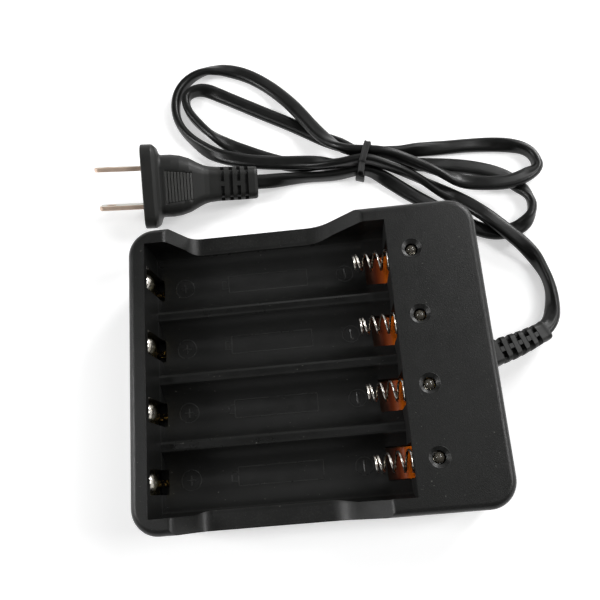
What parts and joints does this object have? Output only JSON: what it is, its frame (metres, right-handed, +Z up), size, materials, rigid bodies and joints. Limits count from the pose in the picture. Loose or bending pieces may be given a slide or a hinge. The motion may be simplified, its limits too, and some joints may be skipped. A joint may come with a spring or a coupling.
{
  "type": "battery charger",
  "caption": "Open-tray charger for round lithium-ion cells, with sprung contacts, an indicator lamp beside each trough, and a tied mains cord ending in a flat-blade plug",
  "frame": {"origin": "middle of the housing's underside, on the plane of its feet", "axes": "+X towards the lamp panel and the cord, +Y towards the rear wall and the plug, +Z up out of the troughs"},
  "size_m": [0.1515, 0.1649, 0.028],
  "materials": {
    "housing_plastic": "fine matte texture, satin in the troughs",
    "nickel_plate": "nickel plated, satin",
    "spring_wire": "bright nickel plated wire",
    "amber_film": "glossy translucent amber film",
    "clear_lamp": "clear, faintly cloudy",
    "zinc_screw": "zinc plated",
    "board": "brown paper laminate",
    "winding_tape": "yellow tape over a dark core",
    "capacitor_sleeve": "dark blue sleeve",
    "resistor_body": "lacquered",
    "chip_black": "moulded epoxy",
    "lead_insulation": "brown wire insulation",
    "cord_vinyl": "semi-matte black vinyl",
    "plug_vinyl": "semi-matte black vinyl",
    "tie_nylon": "black nylon",
    "blade_metal": "thin nickel over brass"
  },
  "bodies": {
    "charger": {"upper_housing": "housing_plastic", "bottom_cover": "housing_plastic", "cover_screws": "zinc_screw", "positive_contact_1": "nickel_plate", "positive_contact_2": "nickel_plate", "positive_contact_3": "nickel_plate", "positive_contact_4": "nickel_plate", "spring_insulator_1": "amber_film", "spring_insulator_2": "amber_film", "spring_insulator_3": "amber_film", "spring_insulator_4": "amber_film", "led_1": "clear_lamp", "led_2": "clear_lamp", "led_3": "clear_lamp", "led_4": "clear_lamp", "main_board": "board", "transformer": "winding_tape", "bulk_capacitor": "capacitor_sleeve", "output_capacitor": "capacitor_sleeve", "fuse_resistor": "resistor_body", "rectifier_diodes": "chip_black", "switching_transistor": "chip_black", "charge_transistors": "chip_black", "mains_leads": "lead_insulation", "strain_relief": "cord_vinyl", "power_cord": "cord_vinyl", "cord_tie": "tie_nylon", "plug_body": "plug_vinyl", "plug_blade_1": "blade_metal", "plug_blade_2": "blade_metal"},
    "spring_1": {"negative_spring_1": "spring_wire"},
    "spring_2": {"negative_spring_2": "spring_wire"},
    "spring_3": {"negative_spring_3": "spring_wire"},
    "spring_4": {"negative_spring_4": "spring_wire"}
  },
  "joints": [
    {"name": "spring_1_press", "type": "slide", "parent": "charger", "child": "spring_1", "axis": [1, 0, 0], "range_m": [0, 0.0055], "stiffness_N_per_m": 600, "deforming": ["negative_spring_1"]},
    {"name": "spring_2_press", "type": "slide", "parent": "charger", "child": "spring_2", "axis": [1, 0, 0], "range_m": [0, 0.0055], "stiffness_N_per_m": 600, "deforming": ["negative_spring_2"]},
    {"name": "spring_3_press", "type": "slide", "parent": "charger", "child": "spring_3", "axis": [1, 0, 0], "range_m": [0, 0.0055], "stiffness_N_per_m": 600, "deforming": ["negative_spring_3"]},
    {"name": "spring_4_press", "type": "slide", "parent": "charger", "child": "spring_4", "axis": [1, 0, 0], "range_m": [0, 0.0055], "stiffness_N_per_m": 600, "deforming": ["negative_spring_4"]}
  ]
}
